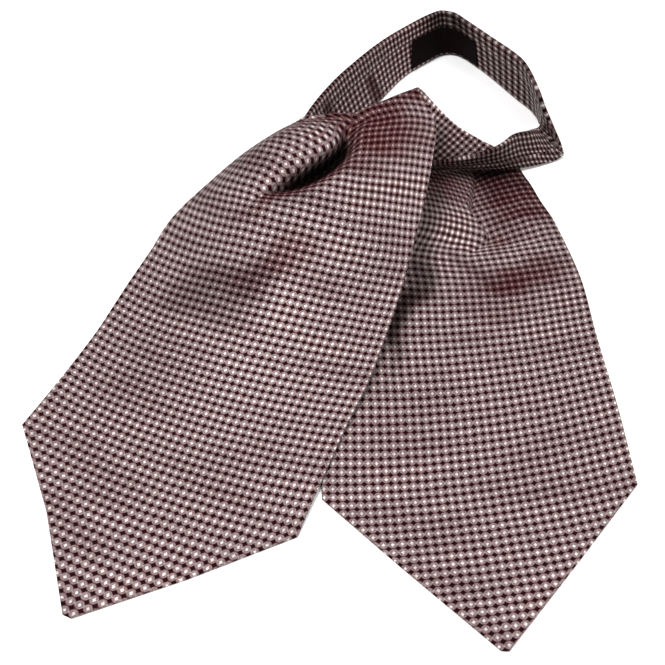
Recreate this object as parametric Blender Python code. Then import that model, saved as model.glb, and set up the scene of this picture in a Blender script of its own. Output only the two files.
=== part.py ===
"""Day cravat laid on a table as if tied: two wide pointed blades and a pleated neckband loop."""
import math

import bpy
import numpy as np

# Driving sizes, in millimetres (the last step turns them into metres)
BLADE_WALL = 2.0     # self-lined blade: two silk faces and an interlining
BAND_WALL = 3.0      # pleated neckband: folded plies pressed together
LABEL_WALL = 0.5
SEAM_GAP = 0.3       # between pieces that meet at a seam
ROW_STEP = 6.5       # distance between mesh rows along a blade
FLAT_BELOW = 0.05    # an underside lower than this lies on the table

CLOTH_COLOUR = (0.27, 0.19, 0.21)
LABEL_COLOUR = (0.02, 0.012, 0.018)
CLOTH_ROUGHNESS = 0.55

# Left blade, one row for each section across it: cloth distance from the tip, both edges,
# the height of the cloth at 0, 1/5, 2/5, 3/5, 4/5 and 5/5 of the way across, and how far
# the middle of the row lies back (+) or forward (-)
LEFT_ROWS = [
    # cloth left_x  left_y  right_x right_y  z0    z1    z2    z3    z4    z5  back
    (0, -116.8, -155.6, -113.2, -157.2, 1.0, 1.0, 1.0, 1.0, 1.0, 1.0, 0),
    (38, -133.0, -106.5, -64.5, -139.4, 1.0, 1.0, 1.0, 1.0, 1.0, 1.0, 0),
    (75, -154.0, -59.0, -16.0, -119.0, 1.0, 1.0, 1.0, 1.0, 1.0, 1.0, 0),
    (105, -141.5, -34.0, -5.0, -91.5, 1.0, 1.0, 2.0, 2.8, 3.4, 3.6, 0),
    (140, -126.0, 0.0, 7.0, -62.0, 1.0, 3.6, 7.5, 8.5, 7.0, 4.6, 0),
    (170, -115.5, 29.0, 18.5, -37.0, 1.0, 8.0, 16.0, 18.0, 13.5, 7.0, 0),
    (200, -104.0, 57.0, 29.0, -8.0, 1.6, 15.0, 27.0, 30.0, 23.0, 11.5, 0),
    (228, -92.5, 82.0, 37.0, 15.5, 5.0, 25.0, 39.0, 41.0, 33.0, 19.0, 0),
    (255, -74.0, 100.0, 43.0, 35.0, 13.0, 37.0, 48.0, 49.0, 42.0, 29.0, 0),
    (280, -53.0, 114.0, 50.0, 60.0, 24.0, 45.5, 52.5, 52.5, 49.0, 38.5, -1),
    (305, -33.5, 121.5, 55.5, 86.0, 34.0, 48.0, 52.5, 53.5, 53.0, 48.0, -2),
    (328, -21.0, 122.0, 58.0, 112.0, 42.0, 48.0, 50.5, 53.0, 54.0, 51.5, -4),
    (346, -16.5, 123.0, 50.0, 136.0, 44.5, 48.0, 50.0, 52.8, 55.2, 55.4, -8),
]

# Back of the left blade, where it turns over the top fold and goes down inside the loop
RISE_ROWS = [
    (352, -15.0, 126.0, 52.0, 138.0, 42.0, 45.0, 47.0, 49.8, 52.6, 53.0, -7),
    (362, -14.0, 127.5, 62.0, 135.5, 33.0, 36.0, 37.5, 40.0, 42.5, 42.5, -5),
    (376, -12.5, 127.5, 76.0, 134.5, 22.0, 24.0, 25.0, 26.5, 28.0, 28.5, -2),
    (388, -10.0, 127.5, 89.5, 133.0, 13.0, 14.0, 15.0, 16.5, 18.5, 20.0, 0),
    (398, -7.0, 127.5, 100.5, 131.5, 7.0, 7.6, 8.6, 10.0, 12.0, 14.0, 0),
    (408, -4.0, 127.5, 103.5, 131.0, 3.8, 4.4, 4.8, 5.2, 5.6, 6.0, 0),
]

# Deep pleat of the left blade: cloth distance, place across the row (0 to 1), depth, and the
# width of the long slope right of it
GROOVE_ROWS = [
    (0, 0.35, 0.0, 27),
    (200, 0.35, 0.0, 27),
    (225, 0.355, 0.0, 27),
    (231, 0.362, 1.2, 27),
    (237, 0.378, 3.6, 27),
    (244, 0.392, 7.5, 27),
    (251, 0.405, 11.5, 27),
    (258, 0.416, 15.0, 27),
    (267, 0.430, 18.5, 26),
    (276, 0.442, 20.5, 24),
    (286, 0.455, 20.5, 20),
    (296, 0.458, 17.0, 15),
    (305, 0.445, 11.0, 12),
    (314, 0.435, 6.0, 10),
    (324, 0.430, 3.4, 10),
    (340, 0.42, 2.2, 10),
    (352, 0.41, 1.4, 10),
    (366, 0.40, 0.6, 10),
    (380, 0.40, 0.0, 10),
    (408, 0.40, 0.0, 10),
]
GROOVE_COLUMN = 0.35    # the column that follows the bottom of the groove
GROOVE_ROLL = 13.0      # width of the roll's round face, left of the groove
GROOVE_LIP = 7.0        # how far the roll leans over the groove
GROOVE_DEEP = 20.5
ROLL_ROUND = 0.97       # share of a full quarter circle that the roll's face follows

# The left edge of the left blade is folded under along the roll: radius and first slope
TUCK_RADIUS = 9.0
TUCK_SHARE = 0.12     # columns from -TUCK_SHARE to 0 make the folded margin
TUCK_SLOPE = math.radians(50.0)
TUCK_TURN = 1.55      # the margin drops at most this many radii
TUCK_CLEAR = 1.5      # and stays this far above the table
TUCK_ENDS = 326       # cloth distance where the margin starts to run out
TUCK_FADE = 18.0      # and the distance that it takes

# Right blade, flat on the table and rising over the crossing, with the same columns
RIGHT_ROWS = [
    (0, 71.2, -171.2, 74.8, -171.4, 1.0, 1.0, 1.0, 1.0, 1.0, 1.0, 0),
    (38, 31.0, -134.2, 109.5, -132.6, 1.0, 1.0, 1.0, 1.0, 1.0, 1.0, 0),
    (75, -5.0, -100.0, 145.0, -92.0, 1.0, 1.0, 1.0, 1.0, 1.0, 1.0, 0),
    (120, -7.5, -55.0, 143.8, -47.0, 1.0, 1.0, 1.0, 1.0, 1.0, 1.0, 0),
    (165, -10.5, -10.0, 141.0, -2.0, 1.0, 1.0, 1.4, 2.0, 1.6, 1.0, 0),
    (205, -12.5, 30.0, 139.2, 38.0, 1.0, 1.3, 1.6, 2.2, 1.5, 1.0, 0),
    (229, -12.0, 54.0, 135.4, 61.0, 1.0, 2.4, 3.4, 3.6, 1.8, 1.0, 0),
    (242, -11.2, 67.0, 132.8, 73.5, 1.0, 3.4, 6.4, 8.4, 2.8, 1.0, 0),
    (256, -9.5, 81.0, 129.8, 86.0, 1.0, 3.8, 7.8, 10.4, 3.4, 1.0, 0),
    (268, -7.0, 93.0, 125.6, 97.5, 1.0, 4.0, 7.8, 9.6, 3.4, 1.0, 0),
    (287, -2.0, 112.0, 119.0, 119.0, 1.0, 3.4, 5.6, 6.2, 3.6, 1.0, 0),
    (303, 2.0, 126.0, 110.0, 137.0, 1.0, 1.8, 2.2, 2.4, 2.0, 1.0, 0),
    (316, 0.0, 133.5, 88.0, 147.0, 1.0, 1.6, 2.0, 2.0, 1.6, 1.0, 0),
    (332, 0.5, 139.0, 58.0, 155.0, 1.4, 2.4, 3.0, 3.0, 2.4, 1.4, 0),
    (348, 2.8, 144.0, 33.0, 164.0, 4.0, 5.0, 5.4, 5.0, 3.6, 2.0, 0),
    (360, 5.6, 150.0, 18.5, 170.5, 8.0, 9.0, 9.0, 8.0, 6.0, 3.6, 0),
]

# Pleat of the right blade: cloth distance, place of the fold edge across the row, drop beside it
PLEAT_ROWS = [
    (0, 0.65, 0.0),
    (215, 0.60, 0.0),
    (221, 0.575, 0.6),
    (227, 0.605, 2.0),
    (233, 0.660, 4.4),
    (238, 0.684, 6.4),
    (243, 0.672, 7.2),
    (249, 0.650, 7.6),
    (256, 0.632, 7.6),
    (265, 0.650, 7.2),
    (275, 0.678, 6.2),
    (290, 0.718, 4.2),
    (303, 0.72, 1.6),
    (316, 0.72, 0.0),
    (360, 0.70, 0.0),
]
PLEAT_COLUMN = 0.65     # the column that follows the fold edge
PLEAT_WIDTH = 3.2
PLEAT_RETURN = 34.0     # the hollow beside the fold fades out over this width

# Neckband, two edges of its middle surface: the edge along the loop's inside and the far edge
BAND_LEFT_ROWS = [
    # in_x  in_y   in_z  out_x out_y out_z
    (82.0, 246.6, 0.0, 75.4, 243.8, 36.4),
    (73.9, 244.2, 0.0, 69.8, 242.2, 37.0),
    (62.9, 235.0, 0.0, 60.0, 234.2, 38.0),
    (51.9, 224.9, 0.0, 49.6, 225.2, 38.0),
    (44.5, 215.9, 0.0, 40.6, 217.0, 38.0),
    (37.3, 204.8, 0.0, 31.2, 207.4, 38.0),
    (28.8, 191.5, 0.0, 21.6, 196.0, 38.0),
    (20.0, 178.5, 0.0, 12.2, 183.6, 38.0),
    (11.5, 165.5, 0.0, 3.0, 170.6, 38.0),
    (3.0, 151.5, 0.0, -6.0, 155.4, 38.0),
    (-3.5, 139.5, 0.0, -12.6, 142.2, 38.0),
    (-7.5, 131.5, 0.0, -17.0, 133.0, 37.0),
]
BAND_RIGHT_ROWS = [
    (82.0, 246.6, 0.0, 75.4, 243.8, 36.4),
    (88.6, 244.4, 0.0, 81.8, 240.8, 36.4),
    (96.3, 237.2, 0.0, 88.6, 232.4, 36.4),
    (108.6, 220.3, 0.0, 100.8, 216.4, 36.6),
    (122.9, 197.7, 0.0, 116.2, 195.8, 37.0),
    (131.0, 186.0, 0.0, 121.8, 183.2, 37.0),
    (134.6, 176.0, 0.6, 126.2, 165.0, 35.0),
    (134.0, 168.6, 3.0, 130.4, 151.2, 29.0),
    (131.6, 160.0, 8.0, 137.2, 145.2, 18.0),
    (128.0, 151.0, 14.0, 143.4, 142.6, 7.0),
    (124.0, 142.6, 20.0, 144.6, 140.2, 1.6),
]
BAND_FRONT_ROWS = [
    (123.8, 142.0, 20.4, 144.4, 139.6, 1.6),
    (121.0, 136.4, 25.0, 138.8, 136.4, 0.6),
    (115.4, 128.6, 30.0, 130.4, 133.0, 1.4),
    (107.0, 124.0, 31.0, 121.4, 129.4, 2.2),
    (100.0, 117.4, 30.4, 111.4, 126.6, 3.5),
    (92.3, 113.4, 28.6, 103.0, 123.8, 5.6),
    (81.0, 110.6, 26.6, 92.0, 121.0, 8.6),
    (69.6, 108.4, 25.4, 78.0, 119.2, 10.2),
    (60.0, 107.6, 24.6, 64.0, 118.0, 10.6),
    (46.0, 107.6, 23.0, 48.0, 118.0, 10.6),
]


def cubic(knots, values, t):
    """Smooth curve through table rows, with tangents from the neighbouring rows."""
    k = np.asarray(knots, float)
    v = np.asarray(values, float)
    t = np.asarray(t, float)
    m = np.empty_like(v)
    m[0] = (v[1] - v[0]) / (k[1] - k[0])
    m[-1] = (v[-1] - v[-2]) / (k[-1] - k[-2])
    d = (v[1:] - v[:-1]) / (k[1:] - k[:-1])[(slice(None),) + (None,) * (v.ndim - 1)]
    h0 = (k[1:-1] - k[:-2])[(slice(None),) + (None,) * (v.ndim - 1)]
    h1 = (k[2:] - k[1:-1])[(slice(None),) + (None,) * (v.ndim - 1)]
    m[1:-1] = (d[:-1] * h1 + d[1:] * h0) / (h0 + h1)
    i = np.clip(np.searchsorted(k, t, side="right") - 1, 0, len(k) - 2)
    h = k[i + 1] - k[i]
    s = (t - k[i]) / h
    e = (slice(None),) + (None,) * (v.ndim - 1)
    s = s[e]
    h = h[e]
    return (v[i] * (1 + 2 * s) * (1 - s) ** 2 + m[i] * h * s * (1 - s) ** 2
            + v[i + 1] * s ** 2 * (3 - 2 * s) + m[i + 1] * h * s ** 2 * (s - 1))


def step(x):
    x = np.clip(x, 0.0, 1.0)
    return x * x * (3 - 2 * x)


def blade_rows(table, q):
    """Table columns at cloth distances q: straight edges to the shoulders, smooth above them."""
    t = np.asarray(table, float)
    smooth = cubic(t[2:, 0], t[2:, 1:], np.maximum(q, t[2, 0]))
    point = np.stack([np.interp(q, t[:3, 0], t[:3, i]) for i in range(1, t.shape[1])], 1)
    return np.where((q < t[2, 0])[:, None], point, smooth)


def across(heights, u):
    """Height across a row from its six table heights (rows x 6, rows x columns)."""
    n = heights.shape[1] - 1
    before = 2 * heights[:, :1] - heights[:, 1:2]
    after = 2 * heights[:, -1:] - heights[:, -2:-1]
    pad = np.concatenate([before, heights, after], 1)
    x = np.clip(u, 0, 1) * n
    i = np.clip(x.astype(int), 0, n - 1)
    s = x - i
    r = np.arange(len(heights))[:, None]
    a, b, c, d = pad[r, i], pad[r, i + 1], pad[r, i + 2], pad[r, i + 3]
    square = 2 * a - 5 * b + 4 * c - d
    cube = 3 * b - a - 3 * c + d
    return 0.5 * (2 * b + (c - a) * s + square * s ** 2 + cube * s ** 3)


def fold_rows(table, q):
    """Columns of a fold's table at cloth distances q, none of them below zero."""
    t = np.asarray(table, float)
    return [np.maximum(cubic(t[:, 0], t[:, i], q), 0)[:, None] for i in range(1, t.shape[1])]


def row_points(rows, u):
    """Points across each row at places u, and the distance of each from the left edge."""
    left = rows[:, None, 0:2]
    right = rows[:, None, 2:4]
    plan = left + (right - left) * u[..., None]
    plan[..., 1] += rows[:, None, 10] * np.sin(math.pi * np.clip(u, 0, 1))
    height = across(rows[:, 4:10], u)
    return plan, height, np.hypot(*(rows[:, 2:4] - rows[:, 0:2]).T)[:, None]


def left_blade(q, c, groove=1.0):
    """Middle surface of the left blade at cloth distances q and columns c: 0 to 1 across the
    face, and below 0 the margin folded under along the roll."""
    rows = blade_rows(LEFT_ROWS + RISE_ROWS, q)
    place, depth, reach = fold_rows(GROOVE_ROWS, q)
    depth = depth * groove
    c = np.broadcast_to(c, (len(q), len(c)))
    face = np.maximum(c, 0)
    right = 1 - (1 - face) / (1 - GROOVE_COLUMN) * (1 - place)
    u = np.where(face < GROOVE_COLUMN, face / GROOVE_COLUMN * place, right)
    plan, z, width = row_points(rows, u)
    t = (u - place) * width
    near = np.sqrt(t * t + 1.0) - 1.0
    turned = np.clip(1 - near / GROOVE_ROLL, 0, 1)
    roll = (1 - np.sqrt(1 - ROLL_ROUND * turned ** 2)) / (1 - math.sqrt(1 - ROLL_ROUND))
    slope = 1 - step(near / reach)
    z = z - depth * np.where(t < 0, roll, slope)
    lip = np.where(t < 0, GROOVE_LIP * depth / GROOVE_DEEP * np.sin(math.pi * turned), 0.0)
    aside = rows[:, 2:4] - rows[:, 0:2]
    aside = aside / np.linalg.norm(aside, axis=1)[:, None]
    plan = plan + aside[:, None, :] * lip[..., None]
    room = np.clip(rows[:, 4] - TUCK_CLEAR, 0, TUCK_TURN * TUCK_RADIUS)
    room = room * (1 - step((q - TUCK_ENDS) / TUCK_FADE))
    turn = np.arccos(math.cos(TUCK_SLOPE) - room / TUCK_RADIUS) - TUCK_SLOPE
    turn = np.maximum(turn, 0.05)[:, None]
    angle = TUCK_SLOPE + turn * np.clip(-c / TUCK_SHARE, 0, 1)
    out = TUCK_RADIUS * (np.sin(angle) - math.sin(TUCK_SLOPE))
    down = TUCK_RADIUS * (math.cos(TUCK_SLOPE) - np.cos(angle))
    plan = plan - aside[:, None, :] * out[..., None]
    z = np.maximum(z - down, 1.0)
    return np.concatenate([plan, z[..., None]], 2)


def right_blade(q, c):
    """Middle surface of the right blade at cloth distances q and columns c from left to right."""
    rows = blade_rows(RIGHT_ROWS, q)
    place, depth = fold_rows(PLEAT_ROWS, q)
    c = np.broadcast_to(c, (len(q), len(c)))
    right = 1 - (1 - c) / (1 - PLEAT_COLUMN) * (1 - place)
    u = np.where(c < PLEAT_COLUMN, c / PLEAT_COLUMN * place, right)
    plan, z, width = row_points(rows, u)
    t = (u - place) * width
    drop = step(t / PLEAT_WIDTH) * (1 - step((t - PLEAT_WIDTH) / PLEAT_RETURN))
    z = np.maximum(z - depth * drop, 1.0)
    return np.concatenate([plan, z[..., None]], 2)


def band(table, s, c):
    """Middle surface of a neckband stretch: s counts table rows, c goes from inner to far edge."""
    t = np.asarray(table, float)
    k = np.arange(len(t), dtype=float)
    r = cubic(k, t, s)
    return r[:, None, 0:3] + (r[:, None, 3:6] - r[:, None, 0:3]) * np.asarray(c)[None, :, None]


def normals(grid):
    """Unit normals of a grid of points, by differences along its rows and columns."""
    du = np.gradient(grid, axis=1)
    dv = np.gradient(grid, axis=0)
    n = np.cross(du, dv)
    return n / np.maximum(np.linalg.norm(n, axis=2), 1e-9)[..., None]


def wall(grid, thickness, normal=None):
    """Closed wall of even thickness about a grid: points and faces. Nothing goes below the table."""
    n = normals(grid) if normal is None else normal
    rows, cols = grid.shape[:2]
    top = (grid + n * thickness / 2).reshape(-1, 3)
    low = (grid - n * thickness / 2).reshape(-1, 3)
    points = np.concatenate([top, low])
    points[:, 2] = np.where(points[:, 2] < FLAT_BELOW, 0.0, points[:, 2])
    count = rows * cols
    faces = []
    for i in range(rows - 1):
        for j in range(cols - 1):
            a = i * cols + j
            faces.append((a, a + 1, a + cols + 1, a + cols))
            faces.append((a + count, a + cols + count, a + cols + 1 + count, a + 1 + count))
    rim = [j for j in range(cols)]
    rim += [i * cols + cols - 1 for i in range(1, rows)]
    rim += [(rows - 1) * cols + j for j in range(cols - 2, -1, -1)]
    rim += [i * cols for i in range(rows - 2, 0, -1)]
    for k, a in enumerate(rim):
        b = rim[(k + 1) % len(rim)]
        faces.append((a, a + count, b + count, b))
    return points, faces


# Station lists for the mesh: fine where the cloth folds, coarse where it lies flat
LEFT_FLAT = [0, 19, 38, 56, 68, 75, 82, 93, 105, 116, 128, 140]
RIGHT_FLAT = [0, 19, 38, 56, 68, 75, 82, 97, 120, 142, 165, 185, 203, 215, 221]
LEFT_COLUMNS = [-0.12, -0.08, -0.04, 0.0, 0.05, 0.11, 0.17, 0.22, 0.26, 0.29, 0.315, 0.335,
                0.35, 0.368, 0.39, 0.42, 0.46, 0.52, 0.60, 0.68, 0.76, 0.84, 0.92, 1.0]
RIGHT_COLUMNS = [0.0, 0.1, 0.2, 0.3, 0.4, 0.5, 0.58, 0.63, 0.65, 0.672, 0.695, 0.72,
                 0.76, 0.81, 0.87, 0.93, 1.0]
BAND_COLUMNS = [0.0, 0.25, 0.5, 0.66, 0.74, 0.87, 1.0]
LEFT_STATIONS = 26      # along the neckband's three stretches
RIGHT_STATIONS = 31
FRONT_STATIONS = 22
PLY_EDGE = 0.70         # a folded ply lies along the far edge of the neckband from here
PLY_LIFT = 0.7          # by this much
PLY_STEP = 0.04         # within this share of the height
LABEL_START = 2.9       # table rows left of the rear corner
LABEL_END = 2.5         # table rows right of the rear corner
LABEL_LOW = 0.08        # label edges, as shares of the neckband's height
LABEL_HIGH = 0.66
LABEL_LEFT_STATIONS = 12
LABEL_RIGHT_STATIONS = 11
LABEL_COLUMNS = 5
MILLIMETRE = 0.001


def stations(first, last):
    """Cloth distances of a blade's mesh rows: the listed ones, then even steps to the last."""
    rest = np.arange(first[-1] + ROW_STEP, last, ROW_STEP)
    return np.array(first + list(rest) + [last], float)


def band_grid(table, s, c, side):
    """Middle surface of a neckband stretch, with the ply along its far edge lifted."""
    grid = band(table, s, c)
    lift = PLY_LIFT * step((np.asarray(c) - PLY_EDGE) / PLY_STEP + 0.5)
    return grid + side * normals(grid) * lift[None, :, None]


def seam_start(table):
    """Row count at which a stretch begins, so that two stretches keep the seam gap between them."""
    first = np.asarray(table[0], float)
    second = np.asarray(table[1], float)
    length = max(np.linalg.norm((second - first)[0:3]), np.linalg.norm((second - first)[3:6]))
    return SEAM_GAP / length


def band_normals(grid, row, normal):
    """Grid normals with one end row set to the plane that two stretches share at a seam."""
    n = normals(grid)
    n[row] = normal
    return n


def corner_normal(rows_a, rows_b):
    """Shared normal at a corner: both stretches' end normals, averaged."""
    total = rows_a + rows_b
    return total / np.linalg.norm(total, axis=1)[:, None]


def add_material(name, colour, roughness):
    material = bpy.data.materials.new(name)
    material.use_nodes = True
    shader = material.node_tree.nodes["Principled BSDF"]
    shader.inputs["Base Color"].default_value = (*colour, 1.0)
    shader.inputs["Roughness"].default_value = roughness
    shader.inputs["Metallic"].default_value = 0.0
    return material


def add_part(name, points, faces, shift, colour, roughness):
    mesh = bpy.data.meshes.new(name)
    metres = (points - shift) * MILLIMETRE
    mesh.from_pydata(metres.tolist(), [], faces)
    mesh.update()
    mesh.shade_smooth()
    part = bpy.data.objects.new(name, mesh)
    bpy.context.scene.collection.objects.link(part)
    mesh.materials.append(add_material(name + "_cloth", colour, roughness))
    return part


def build():
    for old in list(bpy.data.objects):
        bpy.data.objects.remove(old)
    left_rows = stations(LEFT_FLAT, RISE_ROWS[-1][0])
    right_rows = stations(RIGHT_FLAT, RIGHT_ROWS[-1][0])
    parts = {}
    parts["left_blade"] = wall(left_blade(left_rows, np.array(LEFT_COLUMNS)), BLADE_WALL)
    parts["right_blade"] = wall(right_blade(right_rows, np.array(RIGHT_COLUMNS)), BLADE_WALL)
    columns = np.array(BAND_COLUMNS)
    left_s = np.linspace(seam_start(BAND_LEFT_ROWS), len(BAND_LEFT_ROWS) - 1, LEFT_STATIONS)
    right_s = np.linspace(seam_start(BAND_RIGHT_ROWS), len(BAND_RIGHT_ROWS) - 1, RIGHT_STATIONS)
    front_s = np.linspace(seam_start(BAND_FRONT_ROWS), len(BAND_FRONT_ROWS) - 1, FRONT_STATIONS)
    left = band_grid(BAND_LEFT_ROWS, left_s, columns, 1)
    right = band_grid(BAND_RIGHT_ROWS, right_s, columns, -1)
    front = band_grid(BAND_FRONT_ROWS, front_s, columns, -1)
    rear = corner_normal(normals(left)[0], -normals(right)[0])
    turn = corner_normal(normals(right)[-1], normals(front)[0])
    right_normal = band_normals(right, 0, -rear)
    right_normal[-1] = turn
    parts["neckband_left"] = wall(left, BAND_WALL, band_normals(left, 0, rear))
    parts["neckband_right"] = wall(right, BAND_WALL, right_normal)
    parts["neckband_front"] = wall(front, BAND_WALL, band_normals(front, 0, turn))
    label_columns = np.linspace(LABEL_LOW, LABEL_HIGH, LABEL_COLUMNS)
    left_part = np.linspace(LABEL_START, 0, LABEL_LEFT_STATIONS)
    right_part = np.linspace(0, LABEL_END, LABEL_RIGHT_STATIONS)[1:]
    label_left = band(BAND_LEFT_ROWS, left_part, label_columns)
    label_right = band(BAND_RIGHT_ROWS, right_part, label_columns)
    label = np.concatenate([label_left, label_right])
    label = label - normals(label) * (BAND_WALL / 2 + SEAM_GAP + LABEL_WALL / 2)
    parts["label"] = wall(label, LABEL_WALL)
    everything = np.concatenate([points for points, faces in parts.values()])
    low = everything.min(0)
    high = everything.max(0)
    shift = np.array([(low[0] + high[0]) / 2, (low[1] + high[1]) / 2, low[2]])
    for name, (points, faces) in parts.items():
        colour = LABEL_COLOUR if name == "label" else CLOTH_COLOUR
        add_part(name, points, faces, shift, colour, CLOTH_ROUGHNESS)


build()
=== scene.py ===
"""Looks of the day cravat: woven silk shells on the solids' form, label, table, light and camera."""

import math

import bpy
import numpy as np
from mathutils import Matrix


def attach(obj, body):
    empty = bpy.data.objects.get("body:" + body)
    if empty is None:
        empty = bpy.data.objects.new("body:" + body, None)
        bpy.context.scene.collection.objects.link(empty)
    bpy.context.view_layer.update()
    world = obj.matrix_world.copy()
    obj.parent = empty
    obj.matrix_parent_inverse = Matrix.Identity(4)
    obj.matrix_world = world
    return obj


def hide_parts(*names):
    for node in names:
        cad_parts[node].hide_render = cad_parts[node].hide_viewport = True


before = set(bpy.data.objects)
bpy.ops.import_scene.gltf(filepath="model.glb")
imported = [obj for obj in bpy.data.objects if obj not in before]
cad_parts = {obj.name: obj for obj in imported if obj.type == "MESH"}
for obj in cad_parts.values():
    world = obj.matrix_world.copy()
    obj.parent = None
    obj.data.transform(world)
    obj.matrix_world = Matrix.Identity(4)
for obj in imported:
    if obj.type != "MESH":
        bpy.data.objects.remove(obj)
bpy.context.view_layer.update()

# Driving sizes, in millimetres (the last step turns them into metres)
BLADE_WALL = 1.8     # visible cloth of the self-lined blades
BAND_WALL = 2.8      # visible cloth of the pleated neckband
LABEL_WALL = 0.5
SEAM_GAP = 0.3       # between pieces that meet at a seam

# Left blade, one row for each section across it: cloth distance from the tip, both edges,
# the height of the cloth at 0, 1/5, 2/5, 3/5, 4/5 and 5/5 of the way across, and how far
# the middle of the row lies back (+) or forward (-)
LEFT_ROWS = [
    # cloth left_x  left_y  right_x right_y  z0    z1    z2    z3    z4    z5  back
    (0, -116.8, -155.6, -113.2, -157.2, 1.0, 1.0, 1.0, 1.0, 1.0, 1.0, 0),
    (38, -133.0, -106.5, -64.5, -139.4, 1.0, 1.0, 1.0, 1.0, 1.0, 1.0, 0),
    (75, -154.0, -59.0, -16.0, -119.0, 1.0, 1.0, 1.0, 1.0, 1.0, 1.0, 0),
    (105, -141.5, -34.0, -5.0, -91.5, 1.0, 1.0, 2.0, 2.8, 3.4, 3.6, 0),
    (140, -126.0, 0.0, 7.0, -62.0, 1.0, 3.6, 7.5, 8.5, 7.0, 4.6, 0),
    (170, -115.5, 29.0, 18.5, -37.0, 1.0, 8.0, 16.0, 18.0, 13.5, 7.0, 0),
    (200, -104.0, 57.0, 29.0, -8.0, 1.6, 15.0, 27.0, 30.0, 23.0, 11.5, 0),
    (228, -92.5, 82.0, 37.0, 15.5, 5.0, 25.0, 39.0, 41.0, 33.0, 19.0, 0),
    (255, -74.0, 100.0, 43.0, 35.0, 13.0, 37.0, 48.0, 49.0, 42.0, 29.0, 0),
    (280, -53.0, 114.0, 50.0, 60.0, 24.0, 45.5, 52.5, 52.5, 49.0, 38.5, -1),
    (305, -33.5, 121.5, 55.5, 86.0, 34.0, 48.0, 52.5, 53.5, 53.0, 48.0, -2),
    (328, -21.0, 122.0, 58.0, 112.0, 42.0, 48.0, 50.5, 53.0, 54.0, 51.5, -4),
    (346, -16.5, 123.0, 50.0, 136.0, 44.5, 48.0, 50.0, 52.8, 55.2, 55.4, -8),
]

# Back of the left blade, where it turns over the top fold and goes down inside the loop
RISE_ROWS = [
    (352, -15.0, 126.0, 52.0, 138.0, 42.0, 45.0, 47.0, 49.8, 52.6, 53.0, -7),
    (362, -14.0, 127.5, 62.0, 135.5, 33.0, 36.0, 37.5, 40.0, 42.5, 42.5, -5),
    (376, -12.5, 127.5, 76.0, 134.5, 22.0, 24.0, 25.0, 26.5, 28.0, 28.5, -2),
    (388, -10.0, 127.5, 89.5, 133.0, 13.0, 14.0, 15.0, 16.5, 18.5, 20.0, 0),
    (398, -7.0, 127.5, 100.5, 131.5, 7.0, 7.6, 8.6, 10.0, 12.0, 14.0, 0),
    (408, -4.0, 127.5, 103.5, 131.0, 3.8, 4.4, 4.8, 5.2, 5.6, 6.0, 0),
]

# Deep pleat of the left blade: cloth distance, place across the row (0 to 1), depth, and the
# width of the long slope right of it
GROOVE_ROWS = [
    (0, 0.35, 0.0, 27),
    (200, 0.35, 0.0, 27),
    (225, 0.355, 0.0, 27),
    (231, 0.362, 1.2, 27),
    (237, 0.378, 3.6, 27),
    (244, 0.392, 7.5, 27),
    (251, 0.405, 11.5, 27),
    (258, 0.416, 15.0, 27),
    (267, 0.430, 18.5, 26),
    (276, 0.442, 20.5, 24),
    (286, 0.455, 20.5, 20),
    (296, 0.458, 17.0, 15),
    (305, 0.445, 11.0, 12),
    (314, 0.435, 6.0, 10),
    (324, 0.430, 3.4, 10),
    (340, 0.42, 2.2, 10),
    (352, 0.41, 1.4, 10),
    (366, 0.40, 0.6, 10),
    (380, 0.40, 0.0, 10),
    (408, 0.40, 0.0, 10),
]
GROOVE_COLUMN = 0.35    # the column that follows the bottom of the groove
GROOVE_ROLL = 13.0      # width of the roll's round face, left of the groove
GROOVE_LIP = 7.0        # how far the roll leans over the groove
GROOVE_DEEP = 20.5
ROLL_ROUND = 0.97       # share of a full quarter circle that the roll's face follows

# The left edge of the left blade is folded under along the roll: radius and first slope
TUCK_RADIUS = 9.0
TUCK_SHARE = 0.12     # columns from -TUCK_SHARE to 0 make the folded margin
TUCK_SLOPE = math.radians(50.0)
TUCK_TURN = 1.55      # the margin drops at most this many radii
TUCK_CLEAR = 1.5      # and stays this far above the table
TUCK_ENDS = 326       # cloth distance where the margin starts to run out
TUCK_FADE = 18.0      # and the distance that it takes

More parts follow.
